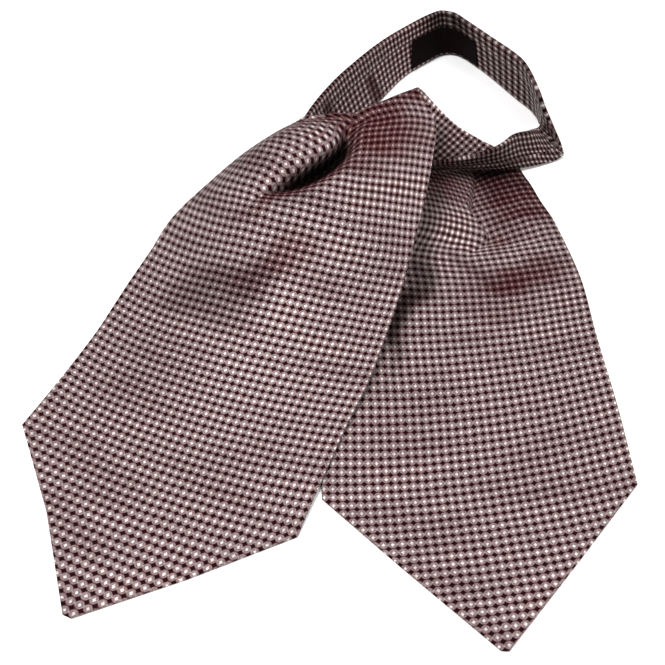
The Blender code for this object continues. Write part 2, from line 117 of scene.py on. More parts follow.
# Right blade, flat on the table and rising over the crossing, with the same columns
RIGHT_ROWS = [
    (0, 71.2, -171.2, 74.8, -171.4, 1.0, 1.0, 1.0, 1.0, 1.0, 1.0, 0),
    (38, 31.0, -134.2, 109.5, -132.6, 1.0, 1.0, 1.0, 1.0, 1.0, 1.0, 0),
    (75, -5.0, -100.0, 145.0, -92.0, 1.0, 1.0, 1.0, 1.0, 1.0, 1.0, 0),
    (120, -7.5, -55.0, 143.8, -47.0, 1.0, 1.0, 1.0, 1.0, 1.0, 1.0, 0),
    (165, -10.5, -10.0, 141.0, -2.0, 1.0, 1.0, 1.4, 2.0, 1.6, 1.0, 0),
    (205, -12.5, 30.0, 139.2, 38.0, 1.0, 1.3, 1.6, 2.2, 1.5, 1.0, 0),
    (229, -12.0, 54.0, 135.4, 61.0, 1.0, 2.4, 3.4, 3.6, 1.8, 1.0, 0),
    (242, -11.2, 67.0, 132.8, 73.5, 1.0, 3.4, 6.4, 8.4, 2.8, 1.0, 0),
    (256, -9.5, 81.0, 129.8, 86.0, 1.0, 3.8, 7.8, 10.4, 3.4, 1.0, 0),
    (268, -7.0, 93.0, 125.6, 97.5, 1.0, 4.0, 7.8, 9.6, 3.4, 1.0, 0),
    (287, -2.0, 112.0, 119.0, 119.0, 1.0, 3.4, 5.6, 6.2, 3.6, 1.0, 0),
    (303, 2.0, 126.0, 110.0, 137.0, 1.0, 1.8, 2.2, 2.4, 2.0, 1.0, 0),
    (316, 0.0, 133.5, 88.0, 147.0, 1.0, 1.6, 2.0, 2.0, 1.6, 1.0, 0),
    (332, 0.5, 139.0, 58.0, 155.0, 1.4, 2.4, 3.0, 3.0, 2.4, 1.4, 0),
    (348, 2.8, 144.0, 33.0, 164.0, 4.0, 5.0, 5.4, 5.0, 3.6, 2.0, 0),
    (360, 5.6, 150.0, 18.5, 170.5, 8.0, 9.0, 9.0, 8.0, 6.0, 3.6, 0),
]

# Pleat of the right blade: cloth distance, place of the fold edge across the row, drop beside it
PLEAT_ROWS = [
    (0, 0.65, 0.0),
    (215, 0.60, 0.0),
    (221, 0.575, 0.6),
    (227, 0.605, 2.0),
    (233, 0.660, 4.4),
    (238, 0.684, 6.4),
    (243, 0.672, 7.2),
    (249, 0.650, 7.6),
    (256, 0.632, 7.6),
    (265, 0.650, 7.2),
    (275, 0.678, 6.2),
    (290, 0.718, 4.2),
    (303, 0.72, 1.6),
    (316, 0.72, 0.0),
    (360, 0.70, 0.0),
]
PLEAT_COLUMN = 0.65     # the column that follows the fold edge
PLEAT_WIDTH = 3.2
PLEAT_RETURN = 34.0     # the hollow beside the fold fades out over this width

# Neckband, two edges of its middle surface: the edge along the loop's inside and the far edge
BAND_LEFT_ROWS = [
    # in_x  in_y   in_z  out_x out_y out_z
    (82.0, 246.6, 0.0, 75.4, 243.8, 36.4),
    (73.9, 244.2, 0.0, 69.8, 242.2, 37.0),
    (62.9, 235.0, 0.0, 60.0, 234.2, 38.0),
    (51.9, 224.9, 0.0, 49.6, 225.2, 38.0),
    (44.5, 215.9, 0.0, 40.6, 217.0, 38.0),
    (37.3, 204.8, 0.0, 31.2, 207.4, 38.0),
    (28.8, 191.5, 0.0, 21.6, 196.0, 38.0),
    (20.0, 178.5, 0.0, 12.2, 183.6, 38.0),
    (11.5, 165.5, 0.0, 3.0, 170.6, 38.0),
    (3.0, 151.5, 0.0, -6.0, 155.4, 38.0),
    (-3.5, 139.5, 0.0, -12.6, 142.2, 38.0),
    (-7.5, 131.5, 0.0, -17.0, 133.0, 37.0),
]
BAND_RIGHT_ROWS = [
    (82.0, 246.6, 0.0, 75.4, 243.8, 36.4),
    (88.6, 244.4, 0.0, 81.8, 240.8, 36.4),
    (96.3, 237.2, 0.0, 88.6, 232.4, 36.4),
    (108.6, 220.3, 0.0, 100.8, 216.4, 36.6),
    (122.9, 197.7, 0.0, 116.2, 195.8, 37.0),
    (131.0, 186.0, 0.0, 121.8, 183.2, 37.0),
    (134.6, 176.0, 0.6, 126.2, 165.0, 35.0),
    (134.0, 168.6, 3.0, 130.4, 151.2, 29.0),
    (131.6, 160.0, 8.0, 137.2, 145.2, 18.0),
    (128.0, 151.0, 14.0, 143.4, 142.6, 7.0),
    (124.0, 142.6, 20.0, 144.6, 140.2, 1.6),
]
BAND_FRONT_ROWS = [
    (123.8, 142.0, 20.4, 144.4, 139.6, 1.6),
    (121.0, 136.4, 25.0, 138.8, 136.4, 0.6),
    (115.4, 128.6, 30.0, 130.4, 133.0, 1.4),
    (107.0, 124.0, 31.0, 121.4, 129.4, 2.2),
    (100.0, 117.4, 30.4, 111.4, 126.6, 3.5),
    (92.3, 113.4, 28.6, 103.0, 123.8, 5.6),
    (81.0, 110.6, 26.6, 92.0, 121.0, 8.6),
    (69.6, 108.4, 25.4, 78.0, 119.2, 10.2),
    (60.0, 107.6, 24.6, 64.0, 118.0, 10.6),
    (46.0, 107.6, 23.0, 48.0, 118.0, 10.6),
]


def cubic(knots, values, t):
    """Smooth curve through table rows, with tangents from the neighbouring rows."""
    k = np.asarray(knots, float)
    v = np.asarray(values, float)
    t = np.asarray(t, float)
    m = np.empty_like(v)
    m[0] = (v[1] - v[0]) / (k[1] - k[0])
    m[-1] = (v[-1] - v[-2]) / (k[-1] - k[-2])
    d = (v[1:] - v[:-1]) / (k[1:] - k[:-1])[(slice(None),) + (None,) * (v.ndim - 1)]
    h0 = (k[1:-1] - k[:-2])[(slice(None),) + (None,) * (v.ndim - 1)]
    h1 = (k[2:] - k[1:-1])[(slice(None),) + (None,) * (v.ndim - 1)]
    m[1:-1] = (d[:-1] * h1 + d[1:] * h0) / (h0 + h1)
    i = np.clip(np.searchsorted(k, t, side="right") - 1, 0, len(k) - 2)
    h = k[i + 1] - k[i]
    s = (t - k[i]) / h
    e = (slice(None),) + (None,) * (v.ndim - 1)
    s = s[e]
    h = h[e]
    return (v[i] * (1 + 2 * s) * (1 - s) ** 2 + m[i] * h * s * (1 - s) ** 2
            + v[i + 1] * s ** 2 * (3 - 2 * s) + m[i + 1] * h * s ** 2 * (s - 1))


def step(x):
    x = np.clip(x, 0.0, 1.0)
    return x * x * (3 - 2 * x)


def blade_rows(table, q):
    """Table columns at cloth distances q: straight edges to the shoulders, smooth above them."""
    t = np.asarray(table, float)
    smooth = cubic(t[2:, 0], t[2:, 1:], np.maximum(q, t[2, 0]))
    point = np.stack([np.interp(q, t[:3, 0], t[:3, i]) for i in range(1, t.shape[1])], 1)
    return np.where((q < t[2, 0])[:, None], point, smooth)


def across(heights, u):
    """Height across a row from its six table heights (rows x 6, rows x columns)."""
    n = heights.shape[1] - 1
    before = 2 * heights[:, :1] - heights[:, 1:2]
    after = 2 * heights[:, -1:] - heights[:, -2:-1]
    pad = np.concatenate([before, heights, after], 1)
    x = np.clip(u, 0, 1) * n
    i = np.clip(x.astype(int), 0, n - 1)
    s = x - i
    r = np.arange(len(heights))[:, None]
    a, b, c, d = pad[r, i], pad[r, i + 1], pad[r, i + 2], pad[r, i + 3]
    square = 2 * a - 5 * b + 4 * c - d
    cube = 3 * b - a - 3 * c + d
    return 0.5 * (2 * b + (c - a) * s + square * s ** 2 + cube * s ** 3)


def fold_rows(table, q):
    """Columns of a fold's table at cloth distances q, none of them below zero."""
    t = np.asarray(table, float)
    return [np.maximum(cubic(t[:, 0], t[:, i], q), 0)[:, None] for i in range(1, t.shape[1])]


def row_points(rows, u):
    """Points across each row at places u, and the distance of each from the left edge."""
    left = rows[:, None, 0:2]
    right = rows[:, None, 2:4]
    plan = left + (right - left) * u[..., None]
    plan[..., 1] += rows[:, None, 10] * np.sin(math.pi * np.clip(u, 0, 1))
    height = across(rows[:, 4:10], u)
    return plan, height, np.hypot(*(rows[:, 2:4] - rows[:, 0:2]).T)[:, None]


def left_blade(q, c, groove=1.0):
    """Middle surface of the left blade at cloth distances q and columns c: 0 to 1 across the
    face, and below 0 the margin folded under along the roll."""
    rows = blade_rows(LEFT_ROWS + RISE_ROWS, q)
    place, depth, reach = fold_rows(GROOVE_ROWS, q)
    depth = depth * groove
    c = np.broadcast_to(c, (len(q), len(c)))
    face = np.maximum(c, 0)
    right = 1 - (1 - face) / (1 - GROOVE_COLUMN) * (1 - place)
    u = np.where(face < GROOVE_COLUMN, face / GROOVE_COLUMN * place, right)
    plan, z, width = row_points(rows, u)
    t = (u - place) * width
    near = np.sqrt(t * t + 1.0) - 1.0
    turned = np.clip(1 - near / GROOVE_ROLL, 0, 1)
    roll = (1 - np.sqrt(1 - ROLL_ROUND * turned ** 2)) / (1 - math.sqrt(1 - ROLL_ROUND))
    slope = 1 - step(near / reach)
    z = z - depth * np.where(t < 0, roll, slope)
    lip = np.where(t < 0, GROOVE_LIP * depth / GROOVE_DEEP * np.sin(math.pi * turned), 0.0)
    aside = rows[:, 2:4] - rows[:, 0:2]
    aside = aside / np.linalg.norm(aside, axis=1)[:, None]
    plan = plan + aside[:, None, :] * lip[..., None]
    room = np.clip(rows[:, 4] - TUCK_CLEAR, 0, TUCK_TURN * TUCK_RADIUS)
    room = room * (1 - step((q - TUCK_ENDS) / TUCK_FADE))
    turn = np.arccos(math.cos(TUCK_SLOPE) - room / TUCK_RADIUS) - TUCK_SLOPE
    turn = np.maximum(turn, 0.05)[:, None]
    angle = TUCK_SLOPE + turn * np.clip(-c / TUCK_SHARE, 0, 1)
    out = TUCK_RADIUS * (np.sin(angle) - math.sin(TUCK_SLOPE))
    down = TUCK_RADIUS * (math.cos(TUCK_SLOPE) - np.cos(angle))
    plan = plan - aside[:, None, :] * out[..., None]
    z = np.maximum(z - down, 1.0)
    return np.concatenate([plan, z[..., None]], 2)


def right_blade(q, c):
    """Middle surface of the right blade at cloth distances q and columns c from left to right."""
    rows = blade_rows(RIGHT_ROWS, q)
    place, depth = fold_rows(PLEAT_ROWS, q)
    c = np.broadcast_to(c, (len(q), len(c)))
    right = 1 - (1 - c) / (1 - PLEAT_COLUMN) * (1 - place)
    u = np.where(c < PLEAT_COLUMN, c / PLEAT_COLUMN * place, right)
    plan, z, width = row_points(rows, u)
    t = (u - place) * width
    drop = step(t / PLEAT_WIDTH) * (1 - step((t - PLEAT_WIDTH) / PLEAT_RETURN))
    z = np.maximum(z - depth * drop, 1.0)
    return np.concatenate([plan, z[..., None]], 2)


def band(table, s, c):
    """Middle surface of a neckband stretch: s counts table rows, c goes from inner to far edge."""
    t = np.asarray(table, float)
    k = np.arange(len(t), dtype=float)
    r = cubic(k, t, s)
    return r[:, None, 0:3] + (r[:, None, 3:6] - r[:, None, 0:3]) * np.asarray(c)[None, :, None]


def normals(grid):
    """Unit normals of a grid of points, by differences along its rows and columns."""
    du = np.gradient(grid, axis=1)
    dv = np.gradient(grid, axis=0)
    n = np.cross(du, dv)
    return n / np.maximum(np.linalg.norm(n, axis=2), 1e-9)[..., None]


PLY_EDGE = 0.70         # a folded ply lies along the far edge of the neckband from here
PLY_LIFT = 0.7          # by this much
PLY_STEP = 0.02         # within this share of the height
LABEL_START = 2.9
LABEL_END = 2.5
LABEL_LOW = 0.08
LABEL_HIGH = 0.66
SHIFT = np.array([-4.629, 38.307, 0.0])   # from the tables' origin to the frame's
MILLIMETRE = 0.001
SHOULDER = 75.0         # from a blade's point to its full width
FOLD_TOP = 349.0        # cloth distance of the left blade's top fold
LEFT_END = 408.0        # cloth distance where each blade's stretch ends
RIGHT_END = 360.0
ROW_SPACING = 1.6       # between mesh rows along a blade
FAR_SQUEEZE = 1.18      # how much closer the weave looks on the ply behind the fold
FAR_SHINE = -0.38       # shade less than none: that ply catches the light
FAR_TONE = -0.3         # and its dots are painted whiter, a highlight
SHADE_FROM = 4.0        # a pleat's cloth darkens from this depth
SHADE_OVER = 10.0       # and is darkest this much deeper
BLADE_COLUMNS = 96      # mesh columns across a blade
BLADE_RIM = 0.008       # share of a blade's width with closer columns, at each edge
ROLL_LIP_COLUMN = 0.335     # where the roll beside the groove turns under
GATHER_COLUMN = 0.42    # the weave of the left blade is drawn closer right of here
# Where the gathered weave starts and is full along each blade, and by what share it closes
LEFT_GATHER = (235.0, 330.0, 0.45)
RIGHT_GATHER = (215.0, 270.0, 0.6)
REPEAT_ACROSS = 4.36    # weave repeat, millimetres
REPEAT_ALONG = 4.36


def blade_places(end):
    """Cloth distances along a blade, closer at both ends for the rounded edge."""
    extra = [0.3, 0.8, SHOULDER, end - 0.8, end - 0.3, end]
    return np.unique(np.concatenate([np.arange(0, end, ROW_SPACING), extra]))


def edge_columns(count, rim):
    """Places from 0 to 1, with extra ones in a narrow rim at both ends for the rounded edge."""
    near = np.array([0.0, 0.12, 0.3, 0.6, 1.0]) * rim
    middle = np.linspace(rim, 1 - rim, count)[1:-1]
    return np.concatenate([near, middle, 1 - near[::-1]])


def round_edge(grid, half, rim):
    """Half thickness of every grid point, falling to nearly nothing in a round edge."""
    left = arcs(grid, 1)
    right = left[:, -1:] - left
    low = arcs(grid, 0)
    high = low[-1:] - low
    near = np.minimum(np.minimum(left, right), np.minimum(low, high))
    x = np.clip(near / rim, 0, 1)
    return half * np.sqrt(np.maximum(1 - (1 - x) ** 2, 0.004))


def shell(name, grid, half, uv, material, tone_and_painted_sheen=None, painted_shade=None, uv_far=None, far_row=0):
    """Closed thin shell about a grid, with the cloth's own millimetres as its UV map, and
    another such map from far_row on."""
    rows, cols = grid.shape[:2]
    n = normals(grid)
    thick = half[..., None]
    top = (grid + n * thick).reshape(-1, 3)
    low = (grid - n * thick).reshape(-1, 3)
    points = np.concatenate([top, low])
    points[:, 2] = np.maximum(points[:, 2], 0.0)
    points = (points - SHIFT) * MILLIMETRE
    count = rows * cols
    index = np.arange(count).reshape(rows, cols)
    a = index[:-1, :-1].ravel()
    b = index[:-1, 1:].ravel()
    c = index[1:, 1:].ravel()
    d = index[1:, :-1].ravel()
    upper = np.stack([a, b, c, d], 1)
    under = np.stack([a, d, c, b], 1) + count
    rim = np.concatenate([index[0, :], index[1:, -1], index[-1, -2::-1], index[-2:0:-1, 0]])
    following = np.roll(rim, -1)
    side = np.stack([rim, rim + count, following + count, following], 1)
    faces = np.concatenate([upper, under, side])
    mesh = bpy.data.meshes.new(name)
    mesh.from_pydata(points.tolist(), [], faces.tolist())
    mesh.update()
    layer = mesh.uv_layers.new(name="cloth")
    flat = uv.reshape(-1, 2)
    both = np.concatenate([flat, flat])
    loops = both[faces.ravel()]
    if uv_far is not None:
        beyond = np.concatenate([uv_far.reshape(-1, 2)] * 2)
        first_row = faces.min(1) % count // cols
        chosen = np.repeat(first_row >= far_row, 4)
        loops[chosen] = beyond[faces.ravel()][chosen]
    layer.data.foreach_set("uv", loops.astype(np.float32).ravel())
    for label, values in (("tone_and_painted_sheen", tone_and_painted_sheen), ("painted_shade", painted_shade)):
        if values is not None:
            both_sides = np.concatenate([values.ravel(), values.ravel()]).astype(np.float32)
            mesh.attributes.new(label, "FLOAT", "POINT").data.foreach_set("value", both_sides)
    mesh.shade_smooth()
    mesh.materials.append(material)
    piece = bpy.data.objects.new(name, mesh)
    bpy.context.scene.collection.objects.link(piece)
    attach(piece, "root")
    return piece


def arcs(grid, axis):
    """Running length along a grid's rows (axis 1) or columns (axis 0)."""
    d = np.linalg.norm(np.diff(grid, axis=axis), axis=2)
    pad = np.zeros((grid.shape[0], 1)) if axis == 1 else np.zeros((1, grid.shape[1]))
    return np.concatenate([pad, np.cumsum(d, axis)], axis)


# How the weave drifts on each blade, as the photo's rows and columns run: distance from the
# point, then the shift across and the shift along at the left edge, the middle and the right
# edge of the blade (millimetres)
LEFT_DRIFT = [
    # place  across       along
    (0, 6, 0, 3, 0, 0, -1),
    (80, 0, -3, 4, 0, 1, -8),
    (160, 4, 0, 6, -3, 3, -12),
    (240, 18, 5, 6, -13, 1, -16),
    (320, 36, 12, 0, -36, -8, -23),
    (400, 58, 16, -11, -72, -28, -36),
]
RIGHT_DRIFT = [
    (0, 0, 0, -1, 3, 0, -10),
    (80, 1, 3, 5, 9, 8, -5),
    (160, -2, 1, 5, -3, 2, -7),
    (240, -4, -2, 1, -29, -10, -9),
    (320, -1, -3, -2, -61, -21, -4),
    (400, 12, 4, 1, -90, -20, 16),
]
BLADE_HALF = 75.0       # from a blade's middle line to its edges


def drifted(uv, drift):
    """Cloth map with the weave's drift added: smooth along, and a bow through three places."""
    table = np.asarray(drift, float)
    along = np.clip(uv[..., 1], 0, table[-1, 0])
    shift = cubic(table[:, 0], table[:, 1:], along.ravel()).reshape(*along.shape, 6)
    x = uv[..., 0] / BLADE_HALF
    bow = np.stack([x * (x - 1) / 2, 1 - x * x, x * (x + 1) / 2], 2)
    return uv + np.stack([(shift[..., 0:3] * bow).sum(2), (shift[..., 3:6] * bow).sum(2)], 2)


def gathered(uv, column, q, side, start, full, share):
    """Cloth map with the weave drawn closer on one side of a column, rising with the cloth."""
    away = uv[..., 0] - uv[:, column:column + 1, 0]
    away = np.maximum(away, 0) if side > 0 else np.minimum(away, 0)
    moved = uv.copy()
    moved[..., 0] += share * step((q - start) / (full - start))[:, None] * away
    return moved


def cloth_map(grid, q, table):
    """Cloth millimetres of a blade: across from its middle line, and along from its point."""
    tip = (np.array(table[0][1:3]) + np.array(table[0][3:5])) / 2
    left = np.array(table[2][1:3])
    right = np.array(table[2][3:5])
    across = (right - left) / np.linalg.norm(right - left)
    along = np.array([-across[1], across[0]])
    flat = grid[..., 0:2] - tip
    plain = np.stack([flat @ across, flat @ along], 2)
    level = np.searchsorted(q, SHOULDER)
    run = arcs(grid, 1)
    from_right = run[:, -1:] - run
    a = plain[level, -1, 0] - from_right
    climb = arcs(grid, 0)
    b = plain[level][None, :, 1] + climb - climb[level]
    shaped = np.stack([a, b], 2)
    return np.where((q < q[level] + 0.01)[:, None, None], plain, shaped)


def node(tree, kind, **values):
    made = tree.nodes.new(kind)
    for key, value in values.items():
        setattr(made, key, value)
    return made


class Graph:
    """Short way to write shader arithmetic."""

    def __init__(self, tree):
        self.tree = tree

    def wire(self, target, value):
        if isinstance(value, bpy.types.NodeSocket):
            self.tree.links.new(value, target)
        else:
            target.default_value = value

    def math(self, operation, *values, clamp=False):
        made = node(self.tree, "ShaderNodeMath", operation=operation, use_clamp=clamp)
        for socket, value in zip(made.inputs, values):
            self.wire(socket, value)
        return made.outputs[0]

    def fade(self, value, start, end):
        """1 below start, 0 above end, smooth between."""
        made = node(self.tree, "ShaderNodeMapRange", interpolation_type="SMOOTHSTEP")
        self.wire(made.inputs["Value"], value)
        made.inputs["From Min"].default_value = start
        made.inputs["From Max"].default_value = end
        made.inputs["To Min"].default_value = 1.0
        made.inputs["To Max"].default_value = 0.0
        return made.outputs[0]

    def noise(self, vector, scale, detail):
        made = node(self.tree, "ShaderNodeTexNoise", noise_dimensions="2D")
        self.wire(made.inputs["Vector"], vector)
        made.inputs["Scale"].default_value = scale
        made.inputs["Detail"].default_value = detail
        return made.outputs[0]

    def mix(self, factor, a, b):
        made = node(self.tree, "ShaderNodeMix", data_type="RGBA")
        self.wire(made.inputs["Factor"], factor)
        self.wire(made.inputs[6], a)
        self.wire(made.inputs[7], b)
        return made.outputs[2]


# Weave colours, linear: ground, ring, hollow in the ring, link, dot, diamond; first the weave as lit
BRIGHT_SILK = ((0.098, 0.034, 0.038), (0.182, 0.145, 0.140), (0.108, 0.060, 0.062), (0.31, 0.245, 0.245),
               (0.60, 0.525, 0.515), (0.0095, 0.0022, 0.0032))
# The same weave in painted shade: its sheen is lost and the rings turn to wine
SHADED_SILK = ((0.048, 0.007, 0.010), (0.072, 0.023, 0.024), (0.048, 0.014, 0.016), (0.16, 0.088, 0.086),
             (0.35, 0.24, 0.235), (0.006, 0.0004, 0.001))
# Larger, whiter dots on darker rings: painted highlight on the blades' brighter patches and the ply behind
# the fold, and the neckband's sharper weave
WHITE_DOT_SILK = ((0.026, 0.002, 0.003), (0.086, 0.029, 0.028), (0.050, 0.014, 0.014), (0.18, 0.092, 0.090),
              (0.88, 0.72, 0.71), (0.005, 0.0002, 0.0006))


def weave_material(name):
    """Small woven rings, each with a bright dot, dark diamonds between them, on a wine ground.
    The mesh attribute "tone" paints shade where it nears 1, turning the rings to wine as where the
    silk tilts from the light, and gives larger, whiter dots where it nears -1: painted highlight on
    the blades, the sharper weave on the neckband. The attribute "deep" is painted shade that
    darkens the cloth where it nears 1, as at the bottom of a fold, and painted light below 0."""
    material = bpy.data.materials.new(name)
    material.use_nodes = True
    tree = material.node_tree
    shader = tree.nodes["Principled BSDF"]
    g = Graph(tree)
    uv = node(tree, "ShaderNodeUVMap", uv_map="cloth").outputs[0]
    tone_and_painted_sheen = node(tree, "ShaderNodeAttribute", attribute_name="tone_and_painted_sheen").outputs["Fac"]
    split = node(tree, "ShaderNodeSeparateXYZ")
    tree.links.new(uv, split.inputs[0])
    # broad uneven streaks along the rows
    streak_place = node(tree, "ShaderNodeCombineXYZ")
    tree.links.new(g.math("MULTIPLY", split.outputs[0], 0.22), streak_place.inputs[0])
    tree.links.new(split.outputs[1], streak_place.inputs[1])
    streak = g.math("SUBTRACT", g.noise(streak_place.outputs[0], 0.075, 2.0), 0.5)
    tone_and_painted_sheen = g.math("ADD", tone_and_painted_sheen, g.math("MULTIPLY", streak, 0.9))
    wander = g.noise(uv, 0.11, 1.0)
    small = g.math("MULTIPLY", g.math("SUBTRACT", wander, 0.5), 0.16)
    x = g.math("ADD", g.math("DIVIDE", split.outputs[0], REPEAT_ACROSS), small)
    y = g.math("ADD", g.math("DIVIDE", split.outputs[1], REPEAT_ALONG), small)
    px = g.math("ABSOLUTE", g.math("SUBTRACT", g.math("FRACT", x), 0.5))
    py = g.math("ABSOLUTE", g.math("SUBTRACT", g.math("FRACT", y), 0.5))
    qx = g.math("SUBTRACT", 0.5, px)
    qy = g.math("SUBTRACT", 0.5, py)
    radius = g.math("SQRT", g.math("ADD", g.math("MULTIPLY", px, px), g.math("MULTIPLY", py, py)))
    dot = g.fade(g.math("ADD", px, g.math("MULTIPLY", py, 0.9)), 0.05, 0.30)
    round_dot = g.math("SUBTRACT", 1.0, g.fade(radius, 0.15, 0.22))
    hollow = g.math("MULTIPLY", g.fade(radius, 0.27, 0.34), round_dot)
    ring = g.fade(g.math("ADD", radius, g.math("MULTIPLY", py, 0.12)), 0.43, 0.53)
    bridge = g.fade(g.math("ADD", qx, g.math("MULTIPLY", py, 0.9)), 0.05, 0.19)
    corner = g.math("ADD", g.math("MULTIPLY", qx, 0.92), g.math("MULTIPLY", qy, 1.10))
    diamond = g.fade(corner, 0.27, 0.36)
    fine = node(tree, "ShaderNodeTexWave", wave_type="BANDS", bands_direction="Y")
    tree.links.new(uv, fine.inputs["Vector"])
    fine.inputs["Scale"].default_value = 1.1
    fine.inputs["Distortion"].default_value = 1.2
    fine.inputs["Detail"].default_value = 1.0
    threads = fine.outputs["Fac"]
    fleck = g.noise(uv, 1.3, 3.0)
    large_dot = g.fade(g.math("ADD", px, g.math("MULTIPLY", py, 0.9)), 0.12, 0.38)
    colours = []
    for silk_colours, silk_dot in ((BRIGHT_SILK, dot), (SHADED_SILK, dot), (WHITE_DOT_SILK, large_dot)):
        ground, ring_tint, hollow_tint, bridge_tint, dot_tint, dark = silk_colours
        colour = g.mix(ring, (*ground, 1.0), (*ring_tint, 1.0))
        colour = g.mix(g.math("MULTIPLY", hollow, 0.4), colour, (*hollow_tint, 1.0))
        colour = g.mix(g.math("MULTIPLY", bridge, 0.8), colour, (*bridge_tint, 1.0))
        colour = g.mix(silk_dot, colour, (*dot_tint, 1.0))
        colours.append(g.mix(diamond, colour, (*dark, 1.0)))
    # painted shade: wine where the attribute is above 0; larger, whiter dots below 0
    colour = g.mix(g.math("MAXIMUM", tone_and_painted_sheen, 0.0, clamp=True), colours[0], colours[1])
    white_dots = g.math("MAXIMUM", g.math("MULTIPLY", tone_and_painted_sheen, -1.0), 0.0, clamp=True)
    colour = g.mix(white_dots, colour, colours[2])
    broad_shade = g.math("SUBTRACT", 0.17, g.math("MULTIPLY", streak, 0.35))
    shade = g.math("ADD", g.math("MULTIPLY", fleck, 1.7), broad_shade)
    thread_shade = g.math("ADD", g.math("MULTIPLY", threads, 0.16), 0.92)
    scaled = node(tree, "ShaderNodeVectorMath", operation="SCALE")
    tree.links.new(colour, scaled.inputs[0])
    # painted shade from the mesh attribute, and painted light where it is below 0
    painted_shade_fac = node(tree, "ShaderNodeAttribute", attribute_name="painted_shade").outputs["Fac"]
    kept = g.math("SUBTRACT", 1.0, g.math("MULTIPLY", painted_shade_fac, 0.97))
    tree.links.new(g.math("MULTIPLY", g.math("MULTIPLY", shade, thread_shade), kept), scaled.inputs["Scale"])
    tree.links.new(scaled.outputs[0], shader.inputs["Base Color"])
    rough = g.math("ADD", 0.42, g.math("MULTIPLY", diamond, 0.25))
    rough = g.math("SUBTRACT", rough, g.math("MULTIPLY", dot, 0.08))
    tree.links.new(rough, shader.inputs["Roughness"])
    shine = g.math("MULTIPLY", g.math("MAXIMUM", ring, dot), 0.2)
    tree.links.new(g.math("MULTIPLY", shine, g.math("SUBTRACT", 1.0, diamond)), shader.inputs["Metallic"])
    shader.inputs["Specular IOR Level"].default_value = 0.02
    shader.inputs["Sheen Weight"].default_value = 0.012
    shader.inputs["Sheen Roughness"].default_value = 0.4
    shader.inputs["Sheen Tint"].default_value = (0.60, 0.20, 0.25, 1.0)
    height = g.math("ADD", g.math("MULTIPLY", ring, 0.6), g.math("MULTIPLY", dot, 0.5))
    height = g.math("SUBTRACT", height, g.math("MULTIPLY", hollow, 0.25))
    height = g.math("SUBTRACT", height, g.math("MULTIPLY", diamond, 0.5))
    height = g.math("ADD", height, g.math("MULTIPLY", threads, 0.12))
    bump = node(tree, "ShaderNodeBump")
    bump.inputs["Strength"].default_value = 0.5
    bump.inputs["Distance"].default_value = 0.00025
    tree.links.new(height, bump.inputs["Height"])
    tree.links.new(bump.outputs[0], shader.inputs["Normal"])
    return material


def label_material():
    material = bpy.data.materials.new("label_cloth")
    material.use_nodes = True
    tree = material.node_tree
    shader = tree.nodes["Principled BSDF"]
    g = Graph(tree)
    uv = node(tree, "ShaderNodeUVMap", uv_map="cloth").outputs[0]
    ribs = node(tree, "ShaderNodeTexWave", wave_type="BANDS", bands_direction="X")
    tree.links.new(uv, ribs.inputs["Vector"])
    ribs.inputs["Scale"].default_value = 1.6
    ribs.inputs["Distortion"].default_value = 0.6
    colour = g.mix(ribs.outputs["Fac"], (0.002, 0.001, 0.001, 1), (0.006, 0.0025, 0.003, 1))
    tree.links.new(colour, shader.inputs["Base Color"])
    shader.inputs["Roughness"].default_value = 0.75
    shader.inputs["Specular IOR Level"].default_value = 0.02
    bump = node(tree, "ShaderNodeBump")
    bump.inputs["Strength"].default_value = 0.4
    bump.inputs["Distance"].default_value = 0.0001
    tree.links.new(ribs.outputs["Fac"], bump.inputs["Height"])
    tree.links.new(bump.outputs[0], shader.inputs["Normal"])
    return material


# Painted shade on the silk: where it turns to wine as its sheen is lost, and where it lies in
# painted shade: centre x, y and radius x, y (millimetres, in plan), turn in degrees, share of
# wine (less than 0 for whiter dots, a painted highlight), share of shade
LEFT_PATCHES = [
    (25, 100, 32, 28, 0, 0.90, 0.02),
    (38, 126, 34, 16, 20, 0.80, 0.12),
    (0, 84, 24, 14, 35, 0.50, 0.0),
    (-18, 66, 36, 8, 19, 0.80, 0.10),
    (-55, 14, 34, 20, -8, 0.20, 0.38),
    (-30, 22, 24, 13, 20, 0.55, 0.14),
    (30, 62, 26, 9, 10, -0.30, 0.0),
    (-8, 98, 14, 10, 30, -0.40, 0.0),
    (-12, 48, 26, 13, 15, 0.10, 0.18),
    (-58, 92, 34, 20, 30, 0.10, 0.12),
    (22, 32, 16, 22, 0, 0.05, 0.10),
    (-100, -20, 16, 60, -25, 0.05, 0.08),
]
RIGHT_PATCHES = [
    # painted shadow cast by the neckband on this blade
    (97, 127, 32, 10, 0, 0.6, 0.94),
    (108, 118, 30, 18, 0, 0.85, 0.42),
    (110, 98, 30, 28, 0, 0.92, 0.20),
    (97, 66, 17, 9, -10, 0.60, 0.06),
    (105, 38, 36, 14, 15, 0.75, 0.12),
    (92, 15, 24, 11, 0, 0.50, 0.06),
    (79, 42, 20, 4, -53, 0.40, 0.20),
    (66, 112, 22, 24, 0, 0.80, 0.0),
    (76, 68, 19, 13, -25, -0.45, 0.0),
    (60, 44, 11, 15, 0, -0.25, 0.0),
    (128, 18, 15, 11, 0, -0.30, 0.0),
    # painted shadow along the left blade's edge
    (41, 12, 8, 44, -19, 0.3, 0.70),
]


